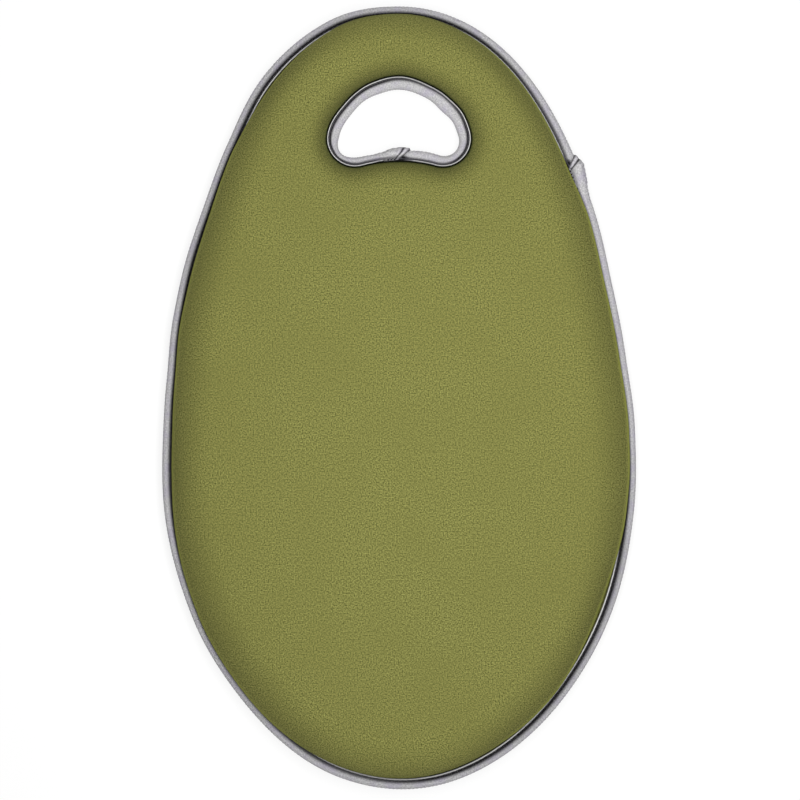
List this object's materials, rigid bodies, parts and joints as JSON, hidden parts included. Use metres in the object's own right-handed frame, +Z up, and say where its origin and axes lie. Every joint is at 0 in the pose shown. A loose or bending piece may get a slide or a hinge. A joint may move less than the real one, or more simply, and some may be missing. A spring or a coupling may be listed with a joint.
{
  "type": "kneeling pad",
  "caption": "Flat egg-shaped foam pad in a padded fabric cover with bound seams, wide at the knees and with a bean-shaped hand hole near its narrow end.",
  "frame": {"origin": "centre of the pad's outline, on the floor that the base panel rests on", "axes": "+Z up through the thickness, +Y along the length towards the hand hole, +X to the right across the width"},
  "size_m": [0.2958, 0.49, 0.036],
  "materials": {
    "cover": "matte",
    "soft_foam": "matte",
    "firm_foam": "matte",
    "binding": "matte",
    "thread": "satin"
  },
  "bodies": {
    "root": {"top_cover": "cover", "base_cover": "cover", "memory_foam": "soft_foam", "eva_foam": "firm_foam", "edge_binding": "binding", "handle_binding": "binding", "edge_top_thread": "thread", "edge_base_thread": "thread", "handle_top_thread": "thread", "handle_base_thread": "thread"}
  },
  "joints": []
}
